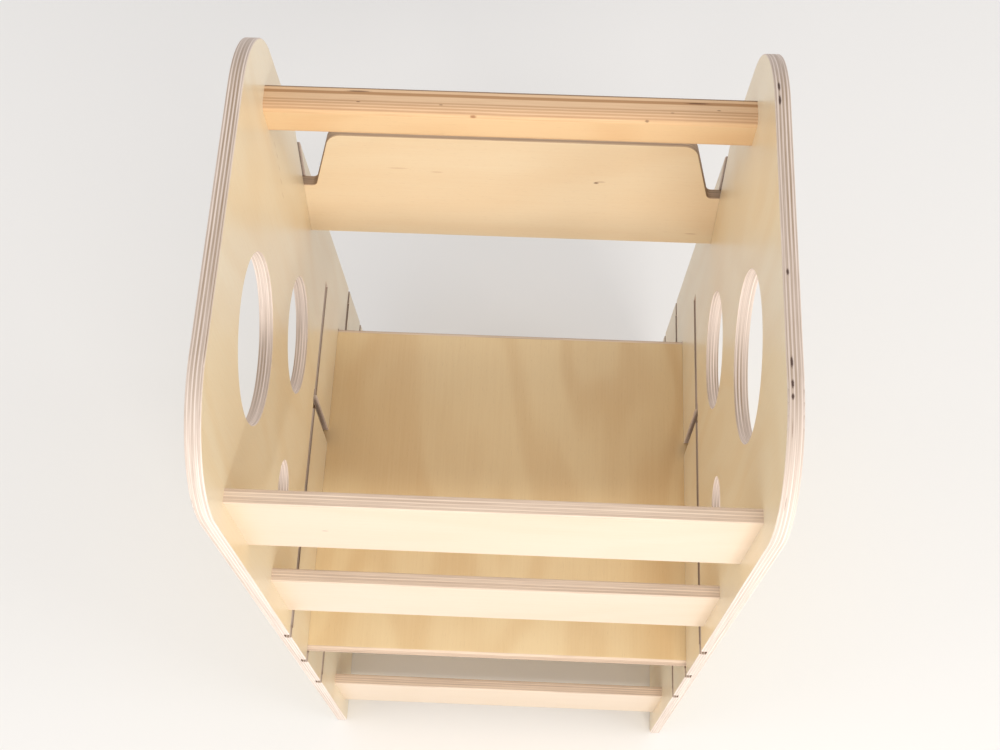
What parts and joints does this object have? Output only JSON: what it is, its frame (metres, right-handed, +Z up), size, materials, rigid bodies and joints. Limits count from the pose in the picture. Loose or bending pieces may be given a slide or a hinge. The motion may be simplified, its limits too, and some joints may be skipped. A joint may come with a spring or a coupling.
{
  "type": "toddler kitchen helper stool",
  "caption": "Birch plywood tower that a toddler stands in at a worktop, with a draw-out platform, a lift-out slanted back board, a handrail and round openings in its sides.",
  "frame": {"origin": "on the floor, midway between the side panels and midway along their feet", "axes": "+Z up; +X across the stool, from the left side panel to the right one; +Y from the front rails to the handrail and back board"},
  "size_m": [0.42, 0.4983, 0.974],
  "materials": {
    "birch_plywood": "satin clear lacquer",
    "screw_steel": "bright zinc plated",
    "beech": "bare"
  },
  "bodies": {
    "frame": {"left_side_panel": "birch_plywood", "right_side_panel": "birch_plywood", "upper_front_rail": "birch_plywood", "middle_front_rail": "birch_plywood", "lower_front_rail": "birch_plywood", "lower_back_rail": "birch_plywood", "handrail": "birch_plywood", "left_upper_front_rail_screws": "screw_steel", "left_middle_front_rail_screws": "screw_steel", "left_lower_front_rail_screws": "screw_steel", "left_lower_back_rail_screws": "screw_steel", "right_upper_front_rail_screws": "screw_steel", "right_middle_front_rail_screws": "screw_steel", "right_lower_front_rail_screws": "screw_steel", "right_lower_back_rail_screws": "screw_steel", "left_handrail_screw": "screw_steel", "right_handrail_screw": "screw_steel", "left_handrail_dowel": "beech", "right_handrail_dowel": "beech"},
    "platform": {"platform": "birch_plywood"},
    "back_board": {"back_board": "birch_plywood"}
  },
  "joints": [
    {"name": "platform_slide", "type": "slide", "parent": "frame", "child": "platform", "axis": [0, -1, 0], "range_m": [0, 0.385]},
    {"name": "back_board_lift", "type": "slide", "parent": "frame", "child": "back_board", "axis": [0, 0.2164, 0.9763], "range_m": [0, 0.15]}
  ]
}
